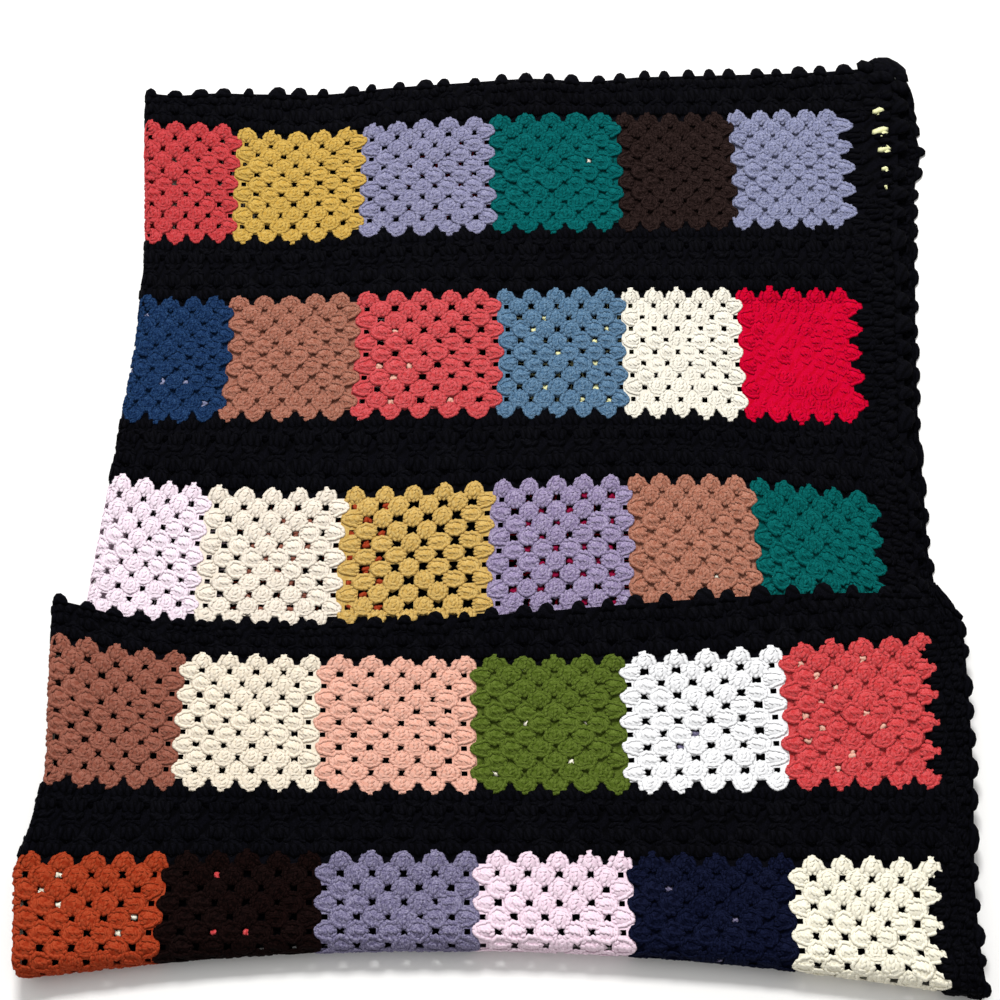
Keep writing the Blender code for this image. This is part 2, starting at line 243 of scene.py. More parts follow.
PLAIN_LOOPS = (
    (-0.46, -0.28, 80, 0.46, 0.24), (0, -0.30, 88, 0.46, 0.24), (0.46, -0.28, 98, 0.46, 0.24),
    (-0.36, 0.28, 34, 0.30, 0.15), (0.04, 0.38, -4, 0.28, 0.15), (0.40, 0.24, -38, 0.30, 0.15),
)
# Bodies under the loops: place along them, half width in steps, height in millimetres.
BODY = ((-0.88, 0, 0), (-0.46, 0.60, 1), (0, 0.76, 1.15), (0.42, 0.58, 1.05),
        (0.86, 0, 0))
TIP_BODY = ((-0.80, 0, 0), (-0.40, 0.70, 1), (0.05, 0.62, 1.15), (0.44, 0.42, 1.05),
            (0.66, 0, 0))
# Half depth in millimetres of a loop of usual half width in steps, and how far loops are
# sunk into their body.
LOOP_DEEP = 0.75
LOOP_HALF = 0.14
LOOP_SUNK = 0.32
# A cluster's half width in its template, and the gap that leaves it a step wide: it is
# narrower where the gaps are wider, and along a seam narrower still.
BODY_HALF = 0.77
TIGHT_GAP = 1.6
GAP_SHARE = 1.3
SEAM_FOOT = 0.88
# Feet of clusters splay out at the corners of a square.
FAN = 0.13
# The side of a square away from +u has one round less, drawn out by this much.
SHORT_SIDE = 0.14
# Where the dark ground starts past a square's centre: on its long and short sides.
VALLEY_LONG = 4.65
VALLEY_SHORT = 3.75
SEAM_PLACE = 5.05
# How far from the side fold a hidden square is coloured; past it, its ground is painted black as painted
# shade.
FOLD_REACH = 0.8
# Dark rounds next to a row of squares: distance from its middle and their columns.
BAND_ROUNDS = ((6.0, np.arange(0.0, 61.0, 2.0)), (7.0, np.arange(1.0, 62.0, 2.0)))
# Places in u of the two dark rounds along a side, and of the stitches that fill the
# valleys of half B's outermost squares, which end a round short.
SIDE_ROUNDS = (61.0, 62.0)
SHORT_VALLEY = 59.9
# Up to here in v half A's side border shows and half B's doesn't, and up to there the
# underside bears clusters.
FLAP_FROM = 47.0
UNDERSIDE_TO = 61.0
UNDERSIDE_GAP = 3.5
# Width and size of a dark cluster.
DARK_FOOT = 1.08
BAND_SIZE = 1.04
# Picots: number along a long and a short edge, their sizes, and the place of their feet.
PICOTS_ALONG = 64
PICOTS_UP = 46
PICOT_SIZE_ALONG = 0.98
PICOT_SIZE_UP = 1.18
PICOT_CORNER = 1.3
PICOT_FOOT = 0.35
# The ground lies this far inwards from the middle of the cloth, in millimetres, and
# further in where a gap is too narrow to see through.  From the first width on a gap is
# such a pit, and from the second on it is a hole.
GROUND_SUNK = 0.1
PIT_SUNK = 1.9
PIT_FROM = 2.0
OPEN_FROM = 2.6
# Half the spacing of the ground's grid lines round a lattice point, in steps, and where
# the grid is twice as close: in u round the side fold, in v round the front fold.
GRID_HALF = 0.3
SIDE_DENSE = (-4.0, 5.0)
FRONT_DENSE = (60.0, 71.0)
# The ground is painted a little darker than the stitches on it: painted shade for the hollows between them.
GROUND_PAINTED_SHADE = -0.15

# The four ways out of a square's centre, and the stitch templates once they are made.
WAYS = ((0.0, -1.0), (1.0, 0.0), (0.0, 1.0), (-1.0, 0.0))
TEMPLATES = {}


def linear(code):
    """Turn a six-digit sRGB colour into linear red, green and blue."""
    parts = [int(code[k:k + 2], 16) / 255.0 for k in (0, 2, 4)]
    return tuple(p / 12.92 if p <= 0.04045 else ((p + 0.055) / 1.055) ** 2.4 for p in parts)


# ---------------------------------------------------------------- the fold


def table(rows, column, at):
    """Read one column of a table at places in its first column."""
    data = np.array(rows)
    return np.interp(at, data[:, 0], data[:, column])


def line_y(line, x):
    """Height in y of a cross line at x."""
    return sum(value * (x / 100.0) ** power for power, value in enumerate(line))


def along(value, knots, places):
    """Piecewise linear map whose knots and places may differ for each point."""
    out = places[0] + (value - knots[0]) * (places[1] - places[0]) / (knots[1] - knots[0])
    for k in range(1, len(knots) - 1):
        step = (places[k + 1] - places[k]) / (knots[k + 1] - knots[k])
        out = np.where(value >= knots[k], places[k] + (value - knots[k]) * step, out)
    return out


def side_arc(u, v):
    """Distance from the side fold along the cloth, plus for A and minus for B."""
    centre = table(EDGES, 1, v) + THICK / 2.0 + SIDE_LOOP_RADIUS
    quarter = QUARTER * SIDE_LOOP_RADIUS
    apex = table(EDGES, 2, v)
    arcs = []
    for sign, seams, edge in ((1.0, SEAMS_A, 3), (-1.0, SEAMS_B, 4)):
        knots = [sign * apex]
        places = [np.zeros_like(v)]
        for k in range(1, 7):
            knots.append(np.full_like(v, k * SQUARE_STEPS))
            places.append(table(seams, k, v) - centre + quarter)
        knots.append(np.full_like(v, U_EDGE))
        places.append(table(EDGES, edge, v) - centre + quarter)
        arcs.append(along(sign * u, knots, places))
    return np.where(u >= apex, arcs[0], -arcs[1])


def half_height(run):
    """Half the height between layers A and B at a distance from the side loop."""
    flat = LAYER_PITCH / 2.0
    return flat + (SIDE_LOOP_RADIUS - flat) * table(SIDE_TAPER, 1, run)


def lower_fold(y):
    """Where the side fold of the two lower layers lies under the flap, in x."""
    level, start, lean = LOWER_FOLD
    return start + (y - level) * lean


def side_section(u, v, w):
    """Cross-section of the doubled cloth: x, offset, middle offset, half height."""
    centre = table(EDGES, 1, v) + THICK / 2.0 + SIDE_LOOP_RADIUS
    quarter = QUARTER * SIDE_LOOP_RADIUS
    arc = side_arc(u, v)
    run = np.maximum(np.abs(arc) - quarter, 0.0)
    angle = np.clip(arc / SIDE_LOOP_RADIUS, -QUARTER, QUARTER)
    half = half_height(run)
    x = centre + run - (SIDE_LOOP_RADIUS + w) * np.cos(angle)
    middle = half * np.sin(angle)
    return x, middle + w * np.sin(angle), middle, half


def front_arc(v, x, middle, half):
    """Signed distance from the front fold along the layer, and the loop's size."""
    radius = (LAYER_PITCH + 2.0 * half + FRONT_BULGE) / 2.0
    centre = line_y(FRONT_LINE, x) + THICK / 2.0 + half + radius
    share = (middle / half + 1.0) / 2.0
    quarter = QUARTER * (radius - middle)
    lines = list(zip(BASE_LINES_A + FLAP_LINES_A, BASE_LINES_B + FLAP_LINES_B))
    knots = [np.full_like(v, line_a[0]) for line_a, _ in lines]
    places = [share * line_y(line_a[1:], x) + (1.0 - share) * line_y(line_b[1:], x) - centre + quarter
              for line_a, line_b in lines]
    turn = len(BASE_LINES_A)
    places[:turn] = [-place for place in places[:turn]]
    outer = line_y(FLAP_LINES_B[0][1:], x) - centre + QUARTER * (radius + half)
    knots.insert(turn, FLAP_LINES_B[0][0] - outer / FLAP_ROW_STEP)
    places.insert(turn, np.zeros_like(v))
    return along(v, knots, places), radius, centre, quarter


def ripple(x, y):
    """Slight unevenness of the upper layers, a few decimetres from crest to crest."""
    wave = np.sin(x / 61.0 + 0.6) * np.cos(y / 83.0 - 0.4) + 0.5 * np.sin(x / 97.0 - y / 71.0)
    return RIPPLE * (wave + 1.5)


def ease(value):
    """Smooth step from 0 to 1."""
    t = np.clip(value, 0.0, 1.0)
    return t * t * (3.0 - 2.0 * t)


def droop(x, y, upper, flap):
    """Sinking of half A past B's far edge, and of the flap past the side fold."""
    shade_and_heather, start, length = FAR_DROOP
    far = shade_and_heather * ease((y - line_y(BASE_LINES_B[0][1:], x) - start) / length)
    shade_and_heather, length = FLAP_DROOP
    side = np.clip((lower_fold(y) - x) / length, 0.0, 1.0) ** 2
    return far * upper * (1.0 - flap) + shade_and_heather * side * flap


def tug(u, v):
    """Shift in y from uneven pulling of the cloth that lies on top."""
    return sum(shift * np.exp(-((abs(u) - at_u) ** 2 + (v - at_v) ** 2) / reach ** 2)
               for at_u, at_v, reach, shift in TUGS)


def fold(u, v, w):
    """Carry lattice points to the folded cloth in metres; w is the way outwards."""
    x, offset, middle, half = side_section(u, v, w)
    arc, radius, centre, quarter = front_arc(v, x, middle, half)
    run = np.maximum(np.abs(arc) - quarter, 0.0)
    angle = np.clip(arc / (radius - middle), -QUARTER, QUARTER)
    flap = np.where(arc > 0.0, 1.0, 0.0)
    y = centre + run - (radius - offset) * np.cos(angle)
    low = THICK / 2.0 + half
    z = low + radius + (radius - offset) * np.sin(angle)
    z = z - flap * FRONT_BULGE * (1.0 - table(FRONT_TAPER, 1, run))
    under = half_height(x - lower_fold(y) - THICK / 2.0 - SIDE_LOOP_RADIUS)
    z = z + flap * 2.0 * (under - half) * ease(run / FLAP_SETTLE)
    upper = (middle / half + 1.0) / 2.0
    y = y + np.maximum(upper, flap) * tug(u, v)
    lift = upper + (1.0 - upper) * (np.sin(angle) + 1.0) / 2.0
    z = z + lift * ripple(x, y) - droop(x, y, upper, flap)
    return np.stack([x - ORIGIN[0], y - ORIGIN[1], z], axis=-1) * MM


# ---------------------------------------------------------------- settings


class BlanketSizes(bpy.types.PropertyGroup):
    """Sizes of the yarn and how unevenly it is worked."""

    gap_scale: bpy.props.FloatProperty(
        name="Gap scale", description="How open the gaps between clusters are",
        default=1.0, min=0.3, max=1.6)
    unevenness: bpy.props.FloatProperty(
        name="Unevenness", description="How far clusters stray from the lattice",
        default=1.0, min=0.0, max=3.0)
    seed: bpy.props.IntProperty(
        name="Seed", description="Start of the random variation", default=17, min=0)


def yarn_colours():
    """One colour property for each yarn."""
    found = {}
    for name, code, _, _ in YARNS:
        found[name] = bpy.props.FloatVectorProperty(
            name=name.replace("_", " ").capitalize(), description="Colour of this yarn",
            default=linear(code), min=0.0, max=1.0, size=3, subtype="COLOR")
    return found


class BlanketYarns(bpy.types.PropertyGroup):
    """Colours of the yarns."""

    __annotations__ = yarn_colours()


class StageSettings(bpy.types.PropertyGroup):
    """Floor, light and camera."""

    floor_colour: bpy.props.FloatVectorProperty(
        name="Floor", description="Colour of the floor", default=linear("F7F6F4"),
        min=0.0, max=1.0, size=3, subtype="COLOR")
    key_power: bpy.props.FloatProperty(
        name="Key light", description="Strength of the large soft light", default=105.0,
        min=0.0, unit="POWER")
    sky: bpy.props.FloatProperty(
        name="Surroundings", description="Strength of the even light all round",
        default=0.74, min=0.0)


# ---------------------------------------------------------------- materials


def add(nodes, kind, settings=(), sockets=(), links=()):
    """Add a node with its settings, socket values and links into it."""
    node = nodes.new(kind)
    for name, value in dict(settings).items():
        setattr(node, name, value)
    for name, value in dict(sockets).items():
        node.inputs[name].default_value = value
    for name, source in dict(links).items():
        node.id_data.links.new(source, node.inputs[name])
    return node


def new_material(name):
    """An empty node material with its output and Principled shader."""
    mat = bpy.data.materials.new(name)
    mat.use_nodes = True
    nodes = mat.node_tree.nodes
    nodes.clear()
    shader = add(nodes, "ShaderNodeBsdfPrincipled")
    out = add(nodes, "ShaderNodeOutputMaterial", links={"Surface": shader.outputs["BSDF"]})
    out.is_active_output = True
    return mat, nodes, shader


def yarn_material(name, colour, sheen, heather):
    """Plied acrylic yarn: matt fibre, a twist along each strand, a fuzzy surface.

    The eye sees soft shading.  The colour holds painted shade in the faint lines where
    the plies meet, painted flecks of light and shade from the fibres mixed with the
    heather's lighter and darker fibres, and a tone that varies from cluster to cluster.
    """
    mat, nodes, shader = new_material("yarn_" + name)
    place = add(nodes, "ShaderNodeTexCoord")
    strand = add(nodes, "ShaderNodeUVMap", {"uv_map": "strand"})
    # Plies lie about 2 mm apart round a strand.
    plies = add(nodes, "ShaderNodeTexWave",
                {"wave_type": "BANDS", "bands_direction": "DIAGONAL", "wave_profile": "SIN"},
                {"Scale": 0.628, "Distortion": 1.6, "Detail": 1.0, "Detail Scale": 1.4},
                {"Vector": strand.outputs["UV"]})
    # Fibre ends clump at about a millimetre.
    fuzz = add(nodes, "ShaderNodeTexNoise", {},
               {"Scale": 820.0, "Detail": 3.0, "Roughness": 0.7},
               {"Vector": place.outputs["Object"]})
    # Dye and handling vary over a few centimetres.
    wear = add(nodes, "ShaderNodeTexNoise", {}, {"Scale": 34.0, "Detail": 2.0},
               {"Vector": place.outputs["Object"]})
    tint = add(nodes, "ShaderNodeAttribute", {"attribute_name": "tint"})
    base = tuple(colour) + (1.0,)
    lit = tuple(min(c * 1.12 + 0.002, 1.0) for c in colour) + (1.0,)
    links = nodes.id_data.links
    spread = add(nodes, "ShaderNodeMath", {"operation": "MULTIPLY_ADD"}, {1: 0.6, 2: -0.05},
                 {0: wear.outputs["Fac"]})
    tone = add(nodes, "ShaderNodeMath", {"operation": "ADD", "use_clamp": True}, {},
               {0: spread.outputs[0], 1: tint.outputs["Fac"]})
    toned = add(nodes, "ShaderNodeMix", {"data_type": "RGBA"}, {6: base, 7: lit}, {0: tone.outputs[0]})
    # The hollows between the plies are painted darker: painted shade for the light
    # that bounces between fibres and deepens the colour there.  A power of the colour
    # gives it, which hardly changes a pale yarn.
    ply_shade = add(nodes, "ShaderNodeMapRange", {}, {"From Max": 0.5, "To Min": 1.2, "To Max": 1.0},
                  {"Value": plies.outputs["Fac"]})
    # Painted flecks of light and shade from the fibres, together with the heather's lighter and darker
    # fibres.
    flecks = add(nodes, "ShaderNodeMapRange", {},
                 {"From Min": 0.38, "From Max": 0.62, "To Min": 1.16 + heather, "To Max": 0.95 - heather},
                 {"Value": fuzz.outputs["Fac"]})
    shade_and_heather = add(nodes, "ShaderNodeMath", {"operation": "MULTIPLY"}, {},
                {0: ply_shade.outputs["Result"], 1: flecks.outputs["Result"]})
    colour_out = add(nodes, "ShaderNodeGamma", {}, {},
                     {"Color": toned.outputs[2], "Gamma": shade_and_heather.outputs[0]})
    twist_bump = add(nodes, "ShaderNodeBump", {}, {"Strength": 0.35, "Distance": 0.0004},
                     {"Height": plies.outputs["Fac"]})
    fuzz_bump = add(nodes, "ShaderNodeBump", {}, {"Strength": 0.5, "Distance": 0.0005},
                    {"Height": fuzz.outputs["Fac"], "Normal": twist_bump.outputs["Normal"]})
    links.new(colour_out.outputs[0], shader.inputs["Base Color"])
    links.new(fuzz_bump.outputs["Normal"], shader.inputs["Normal"])
    shader.inputs["Roughness"].default_value = 0.92
    shader.inputs["Sheen Weight"].default_value = sheen
    shader.inputs["Sheen Roughness"].default_value = 0.6
    shader.inputs["Sheen Tint"].default_value = lit
    shader.inputs["Specular IOR Level"].default_value = FIBRE_GLOSS
    return mat


def yarn_materials():
    """All yarns, made once and shared by the pieces."""
    colours = bpy.context.scene.blanket_yarns
    found = []
    for name, _, sheen, heather in YARNS:
        mat = bpy.data.materials.get("yarn_" + name)
        found.append(mat or yarn_material(name, getattr(colours, name), sheen, heather))
    return found


# ---------------------------------------------------------------- stitches


def strand(bm, rows, sides):
    """A closed strand of yarn along rows of (a, b, height w, half width, half depth)."""
    made = bmesh.ops.create_uvsphere(bm, u_segments=sides, v_segments=len(rows) - 1,
                                     radius=1.0, calc_uvs=True)
    path = np.array(rows)
    ways = np.gradient(path[:, :2], axis=0)
    ways /= np.linalg.norm(ways, axis=1)[:, None]
    for vert in made["verts"]:
        ring = round(math.acos(max(-1.0, min(1.0, vert.co.z))) / math.pi * (len(rows) - 1))
        angle = math.atan2(vert.co.y, vert.co.x)
        a, b, w, half, deep = path[ring]
        way = ways[ring]
        vert.co = (a + way[1] * half * math.cos(angle), b - way[0] * half * math.cos(angle),
                   w + deep * math.sin(angle))


def finish_template(bm):
    """Read a template out as arrays, in an order that is the same every time."""
    mesh = bpy.data.meshes.new("template")
    bm.to_mesh(mesh)
    bm.free()
    co = np.empty(len(mesh.vertices) * 3)
    mesh.vertices.foreach_get("co", co)
    uv = np.empty(len(mesh.loops) * 2)
    mesh.uv_layers["strand"].data.foreach_get("uv", uv)
    co, uv = co.reshape(-1, 3), uv.reshape(-1, 2)
    order = np.lexsort(np.round(co, 5).T)
    rank = np.argsort(order)
    faces = []
    for face in mesh.polygons:
        loops = list(face.loop_indices)
        ring = [int(rank[k]) for k in face.vertices]
        first = ring.index(min(ring))
        faces.append((ring[first:] + ring[:first], loops[first:] + loops[:first]))
    bpy.data.meshes.remove(mesh)
    faces.sort()
    corners = np.concatenate([ring for ring, _ in faces])
    totals = np.array([len(ring) for ring, _ in faces])
    return co[order], corners, totals, uv[np.concatenate([loops for _, loops in faces])]


def new_template():
    """A bmesh with the strand UV map that all stitches share."""
    bm = bmesh.new()
    bm.loops.layers.uv.new("strand")
    return bm


def body_height(body, a, b):
    """How high the body of a cluster stands at a place on it, in millimetres."""
    rows = np.array(body)
    wide = np.interp(b, rows[:, 0], rows[:, 1]) + 0.16
    high = np.interp(b, rows[:, 0], rows[:, 2])
    return high * math.sqrt(max(1.0 - (a / wide) ** 2, 0.0))


def cluster_template(rng, body, loops):
    """A cluster: a rounded mass with the loops of its three posts and its crown."""
    bm = new_template()
    strand(bm, [(0.0, b, 0.0, wide, high) for b, wide, high in body], 6)
    for a, b, slant, reach, half in loops:
        a += rng.uniform(-0.03, 0.03)
        b += rng.uniform(-0.03, 0.03)
        angle = math.radians(slant + rng.uniform(-9.0, 9.0))
        reach *= rng.uniform(0.92, 1.1)
        half *= rng.uniform(0.92, 1.1)
        way = (math.cos(angle), math.sin(angle))
        height = body_height(body, a, b) - LOOP_SUNK
        strand(bm, grain((a, b), way, reach, half, LOOP_DEEP * half / LOOP_HALF, height), 5)
    return finish_template(bm)


def grain(centre, way, reach, half, deep, height):
    """Rows of a short round-ended loop of yarn lying along its way."""
    rows = []
    for t, wide in ((-1.0, 0.0), (-0.6, 0.95), (0.6, 0.95), (1.0, 0.0)):
        rows.append((centre[0] + way[0] * reach * t, centre[1] + way[1] * reach * t,
                     height - 0.5 * (1.0 - wide), half * wide, deep * wide))
    return rows


def rough_template():
    """A cluster for places that hardly show: three plain posts."""
    bm = new_template()
    for i in (-1, 0, 1):
        way = (-0.1 * i, 1.0)
        strand(bm, grain((0.48 * i, -0.24), way, 0.72, 0.31, 2.1, 0.9), 4)
    return finish_template(bm)


def picot_template():
    """One picot: a small hill of looped yarn, standing on loops of the last round."""
    bm = new_template()
    arch = [(-0.72, -0.62, 0.0, 0.0, 0.0), (-0.48, -0.30, 0.2, 0.24, 1.8), (0.0, -0.10, 0.5, 0.28, 2.1),
            (0.46, -0.32, 0.2, 0.24, 1.8), (0.68, -0.66, 0.0, 0.0, 0.0)]
    strand(bm, arch, 6)
    knob = [(-0.04, -0.56, 0.4, 0.0, 0.0), (0.0, -0.34, 0.5, 0.64, 1.9), (0.03, -0.04, 0.6, 0.58, 2.2),
            (0.06, 0.24, 0.5, 0.40, 1.8), (0.08, 0.40, 0.4, 0.0, 0.0)]
    strand(bm, knob, 7)
    for a in (-0.66, 0.0, 0.66):
        lump = [(a - 0.1, -1.2, 0.0, 0.0, 0.0), (a, -1.04, 0.4, 0.32, 2.1),
                (a + 0.05, -0.66, 0.4, 0.32, 2.1), (a + 0.08, -0.42, 0.0, 0.0, 0.0)]
        strand(bm, lump, 5)
    return finish_template(bm)


def speck_template():
    """The top of a loop, for a stitch of the layer below seen through a gap."""
    bm = new_template()
    strand(bm, grain((0.0, 0.0), (1.0, 0.0), 0.42, 0.25, 1.5, 0.0), 5)
    strand(bm, grain((0.05, 0.3), (0.8, 0.6), 0.3, 0.2, 1.3, -0.3), 5)
    return finish_template(bm)


def turned(offsets, way):
    """Turn template points (a, b) so that b points along the way (du, dv)."""
    across = np.stack([-way[:, 1], way[:, 0]], axis=-1)
    return offsets[..., 0:1] * across[:, None, :] + offsets[..., 1:2] * way[:, None, :]


class Stitches:
    """Gathers copies of templates in lattice coordinates, then folds them at once."""

    def __init__(self, seed):
        self.rng = np.random.default_rng(seed)
        self.parts = []

    def place(self, templates, rows, stray=1.0, deep=1.0):
        """rows of (u, v, du, dv, foot width, size, lift, yarn)."""
        rows = np.array(rows, dtype=float)
        pick = self.rng.integers(0, len(templates), len(rows))
        for k, (co, corners, totals, uv) in enumerate(templates):
            own = rows[pick == k]
            if not len(own):
                continue
            count = len(own)
            pts = np.repeat(co[None, :, :], count, axis=0)
            pts[..., 0] *= own[:, 4, None]
            grow = own[:, 5] * (1.0 + stray * self.rng.uniform(-0.06, 0.06, count))
            turn = stray * self.rng.normal(0.0, 0.07, count)
            shift = stray * self.rng.normal(0.0, 0.035, (count, 2))
            raised = own[:, 6] + stray * deep * self.rng.uniform(-0.3, 0.3, count)
            way = own[:, 2:4]
            way = np.stack([way[:, 0] * np.cos(turn) - way[:, 1] * np.sin(turn),
                            way[:, 0] * np.sin(turn) + way[:, 1] * np.cos(turn)], axis=-1)
            flat = turned(pts[..., :2] * grow[:, None, None], way)
            flat += own[:, None, 0:2] + shift[:, None, :]
            w = pts[..., 2] * deep + raised[:, None]
            tint = self.rng.uniform(-0.25, 0.25, count)
            self.parts.append((flat[..., 0], flat[..., 1], w, corners, totals, uv,
                               own[:, 7].astype(np.int64), tint))

    def build(self, name):
        """Fold everything gathered and make one object of it."""
        gathered, base = [], 0
        for u, v, w, corners, totals, uv, yarns, tint in self.parts:
            count, verts = u.shape
            places = fold(u.ravel(), v.ravel(), w.ravel())
            # Yarn that bears on the floor is pressed flat against it.
            places[:, 2] = np.maximum(places[:, 2], FLOOR_GAP)
            shift = base + np.arange(count)[:, None] * verts
            gathered.append((places, (corners[None, :] + shift).ravel(), np.tile(totals, count),
                             np.tile(uv, (count, 1)), np.repeat(yarns, len(totals)),
                             np.repeat(tint, verts)))
            base += count * verts
        return mesh_object(name, *(np.concatenate(part) for part in zip(*gathered)))


def link_piece(name, mesh):
    """Put a piece in the scene on the blanket's one body."""
    obj = bpy.data.objects.new(name, mesh)
    bpy.context.scene.collection.objects.link(obj)
    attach(obj, "root")
    return obj


def mesh_object(name, points, corners, totals, uv, yarns, tint):
    """One smooth-shaded object with only the yarns that it uses."""
    used = np.unique(yarns)
    mesh = bpy.data.meshes.new(name)
    mesh.vertices.add(len(points))
    mesh.vertices.foreach_set("co", points.ravel())
    mesh.loops.add(len(corners))
    mesh.loops.foreach_set("vertex_index", corners)
    mesh.polygons.add(len(totals))
    starts = np.concatenate([[0], np.cumsum(totals)[:-1]])
    mesh.polygons.foreach_set("loop_start", starts)
    mesh.polygons.foreach_set("loop_total", totals)
    mesh.polygons.foreach_set("material_index", np.searchsorted(used, yarns))
    mesh.polygons.foreach_set("use_smooth", np.ones(len(totals), dtype=bool))
    mesh.update(calc_edges=True)
    # The strand map: three plies round, and one turn of them in about 8 mm.
    layer = mesh.uv_layers.new(name="strand")
    layer.data.foreach_set("uv", (uv * np.array([3.0, 2.0])).ravel())
    mesh.attributes.new("tint", "FLOAT", "POINT").data.foreach_set("value", tint)
    mats = yarn_materials()
    for k in used:
        mesh.materials.append(mats[k])
    mesh.validate()
    return link_piece(name, mesh)


def square_rows(half, column, row, yarn, gap):
    """Clusters of one square as rows for Stitches.place: inner rounds, then tips.

    The last round stands along the seam on the side of +u only: there its tips
    lie between those of the next square's last round but one.
    """
    cu, cv = square_centre(half, column, row)
    foot = (1.0 - GAP_SHARE * (gap - TIGHT_GAP) / STEP_MM / 2.0) / BODY_HALF
    inner, tips = [], []
    for way in WAYS:
        across = (-way[1], way[0])
        short = way[0] < 0.0
        rounds = ROUNDS - 1 if short else ROUNDS
        for k in range(1, rounds + 1):
            at = k + SHORT_SIDE if short and k == rounds else float(k)
            for m in range(1 - k, k, 2):
                u = cu + m * across[0] + at * way[0]
                v = cv + m * across[1] + at * way[1]
                fan = FAN * math.copysign(1.0, m) if abs(m) == k - 1 and k > 1 else 0.0
                du, dv = way[0] + fan * across[0], way[1] + fan * across[1]
                norm = math.hypot(du, dv)
                kind = tips if k == rounds else inner
                wide = foot * SEAM_FOOT if kind is tips and way[1] == 0.0 else foot
                kind.append((u, v, du / norm, dv / norm, wide, 1.0, 0.0, YARN_INDEX[yarn]))
    return inner, tips


def dark_rounds(row, sign):
    """The dark rounds on both sides of a row of squares, for Stitches.place."""
    black = YARN_INDEX["black"]
    return [[(sign * u, ROW_CENTRES[row - 1] + way * step, 0.0, way, DARK_FOOT, BAND_SIZE, 0.0,
              black) for u in us]
            for way in (-1.0, 1.0) for step, us in BAND_ROUNDS]


def templates():
    """The stitch templates, made once for all pieces."""
    if "fine" not in TEMPLATES:
        rng = np.random.default_rng(bpy.context.scene.blanket_sizes.seed)
        TEMPLATES["fine"] = [cluster_template(rng, BODY, CLUSTER_LOOPS) for _ in range(4)]
        TEMPLATES["tip"] = [cluster_template(rng, TIP_BODY, TIP_LOOPS) for _ in range(4)]
        TEMPLATES["plain"] = [cluster_template(rng, BODY, PLAIN_LOOPS) for _ in range(3)]
        TEMPLATES["rough"] = [rough_template()]
        TEMPLATES["picot"] = [picot_template()]
        TEMPLATES["speck"] = [speck_template()]
    return TEMPLATES


# ---------------------------------------------------------------- ground


def square_centre(half, column, row):
    """Lattice place of a square's centre."""
    sign = 1.0 if half == "A" else -1.0
    return sign * (column - 0.5) * SQUARE_STEPS, ROW_CENTRES[row - 1]


def ground_lines(low, high, offset, dense):
    """Grid lines on both sides of every lattice point, closer where the cloth bends."""
    whole = np.arange(math.ceil(low - offset - 1.0), math.floor(high - offset + 2.0)) + offset
    lines = np.concatenate([whole - GRID_HALF, whole + GRID_HALF])
    lines = lines[(lines > low + 0.1) & (lines < high - 0.1)]
    lines = np.sort(np.concatenate([lines, [low, high]]))
    middles = (lines[1:] + lines[:-1]) / 2.0
    return np.sort(np.concatenate([lines, middles[(middles > dense[0]) & (middles < dense[1])]]))


def ground_yarn(u, v):
    """Yarn of the ground cloth at lattice points, as indices.

    A hidden square is coloured only where the side fold shows it.  Elsewhere its
    ground is painted black: painted shade for what lies deep under the gaps.
    """
    yarn = np.zeros(u.shape, dtype=np.int64)
    for half, tables in (("A", (UNDER_SQUARES_A, TOP_SQUARES_A)),
                         ("B", (UNDER_SQUARES_B, TOP_SQUARES_B))):
        for squares in tables:
            for row, cells in squares.items():
                for column, cell in enumerate(cells, start=1):
                    name = cell if isinstance(cell, str) else cell[0]
                    reach = FOLD_REACH if isinstance(cell, str) else U_EDGE
                    cu, cv = square_centre(half, column, row)
                    right = VALLEY_LONG if half == "A" and column == 6 else SEAM_PLACE
                    left = VALLEY_SHORT if half == "B" and column == 6 else SQUARE_STEPS - SEAM_PLACE
                    inside = (u - cu > -left) & (u - cu < right) & (np.abs(v - cv) < VALLEY_LONG)
                    yarn[inside & (np.abs(u) < reach)] = YARN_INDEX[name]
    return yarn


def gap_list(scale):
    """Gaps in the ground: lattice place, half width in steps, whether open."""
    found = []
    for half, squares in (("A", TOP_SQUARES_A), ("B", TOP_SQUARES_B)):
        for row, cells in squares.items():
            for column, (_, gap, _) in enumerate(cells, start=1):
                if gap < PIT_FROM:
                    continue
                cu, cv = square_centre(half, column, row)
                wide = min(GAP_MOST, gap * scale / STEP_MM / 2.0 + GAP_LEAST)
                seam = half == "A" and column < 6 or half == "B" and column > 1
                for i in range(-4, 6 if seam else 5):
                    for j in range(-4, 5):
                        if (i + j) % 2 == 0:
                            half_width = min(SEAM_GAP, wide) if i > 4 or i < -3 else wide
                            found.append((cu + i, cv + j, half_width, gap >= OPEN_FROM))
    return found


def lattice_point(u, v):
    """The nearest lattice point, as a key."""
    return round(u), round(v - ROW_OFFSET)


def within(u, v, reach):
    """Whether a place lies within reach of its lattice point in u and in v."""
    at_u, at_v = lattice_point(u, v)
    return abs(u - at_u) < reach and abs(v - ROW_OFFSET - at_v) < reach


